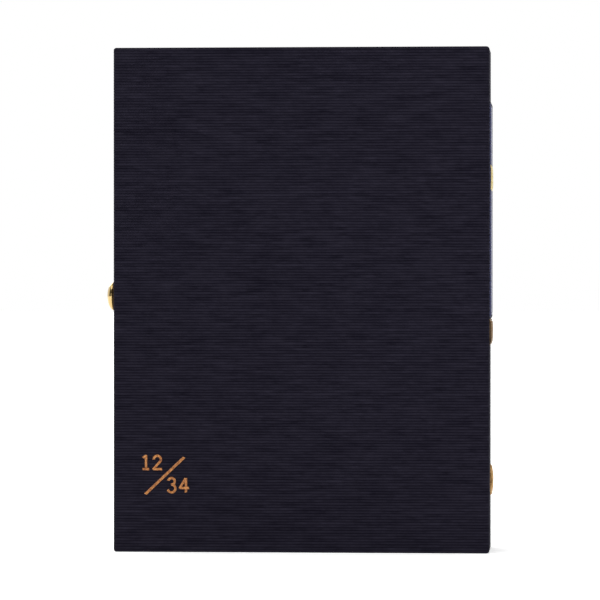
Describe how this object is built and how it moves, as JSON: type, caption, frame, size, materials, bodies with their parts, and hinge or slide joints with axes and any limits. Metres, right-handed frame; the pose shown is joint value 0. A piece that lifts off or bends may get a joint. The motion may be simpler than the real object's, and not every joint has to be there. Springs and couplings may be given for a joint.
{
  "type": "book-shaped hard case",
  "caption": "Hard case in the shape of a closed book: cloth-covered boards, page-look edges, a front cover that opens on a spine hinge, and a push-button catch on the fore edge.",
  "frame": {"origin": "on the surface the case stands on, under the middle of its whole width (button and spine ornaments included), midway between the outer faces of the two covers", "axes": "+Z from the tail edge up to the head edge, +Y out of the front cover (the back cover faces -Y), +X from the fore edge towards the spine"},
  "size_m": [0.1538, 0.0414, 0.2],
  "materials": {
    "navy_canvas": "ribbed cotton canvas, very dark navy",
    "blue_felt": "dusty blue wool felt",
    "cream_gold_thread": "pale gold satin stitch",
    "orange_gold_thread": "orange-gold satin stitch",
    "bronze_thread": "brown-gold satin stitch",
    "page_cloth": "fine cream ribbed cloth",
    "lining_cloth": "plain cotton lining",
    "book_board": "grey-brown binder's board",
    "shell_wall": "moulded, matt",
    "polished_brass": "polished, lacquered",
    "satin_brass": "plain rolled",
    "steel": "spring steel, plain"
  },
  "bodies": {
    "back_half": {"back_board": "book_board", "back_cover_cloth": "navy_canvas", "spine_board": "book_board", "spine_cloth": "navy_canvas", "joint_cloth": "navy_canvas", "spine_lining": "lining_cloth", "back_lining": "lining_cloth", "back_wall": "shell_wall", "back_page_edges": "page_cloth", "back_brass_rim": "polished_brass", "back_rim_pins": "satin_brass", "hinge_leaf_spine": "satin_brass", "hinge_pin": "steel", "spine_leaf_rivets": "satin_brass", "button_bezel": "polished_brass", "button_spring": "steel", "catch_block": "satin_brass", "catch_leaf_foot": "steel", "catch_rivets": "satin_brass", "catch_housing": "satin_brass", "housing_screws": "steel", "number_upper": "orange_gold_thread", "number_slash": "orange_gold_thread", "number_lower": "orange_gold_thread", "spine_felt_panel": "blue_felt", "spine_upper_band": "cream_gold_thread", "spine_lower_band": "bronze_thread", "spine_roundel": "orange_gold_thread"},
    "front_half": {"front_board": "book_board", "front_cover_cloth": "navy_canvas", "front_wall": "shell_wall", "front_page_edges": "page_cloth", "front_brass_rim": "polished_brass", "front_rim_pins": "satin_brass", "front_lining": "lining_cloth", "hinge_leaf_front": "satin_brass", "front_leaf_rivets": "satin_brass", "keeper": "satin_brass", "keeper_rivets": "satin_brass", "front_border": "orange_gold_thread", "front_felt_disc": "blue_felt", "front_felt_star": "cream_gold_thread"},
    "button": {"button_head": "polished_brass", "button_stem": "satin_brass", "stem_clip": "steel"},
    "catch_leaf": {"catch_leaf_arm": "steel"}
  },
  "joints": [
    {"name": "front_cover_hinge", "type": "hinge", "parent": "back_half", "child": "front_half", "pos_m": [0.07312, 0.0174, 0.1], "axis": [0, 0, -1], "range_deg": [0, 110], "deforming": ["joint_cloth", "catch_leaf_arm"]},
    {"name": "button_press", "type": "slide", "parent": "back_half", "child": "button", "axis": [1, 0, 0], "range_m": [0, 0.0013], "stiffness_N_per_m": 1500, "springref_m": -0.0008, "deforming": ["button_spring"]},
    {"name": "catch_leaf_flex", "type": "hinge", "parent": "back_half", "child": "catch_leaf", "pos_m": [-0.06542, -0.009, 0.08], "axis": [0, 1, 0], "range_deg": [0, 3.6]}
  ],
  "couplings": [
    {"joint": "catch_leaf_flex", "follows": "button_press", "rad_per_m": 46.7}
  ]
}
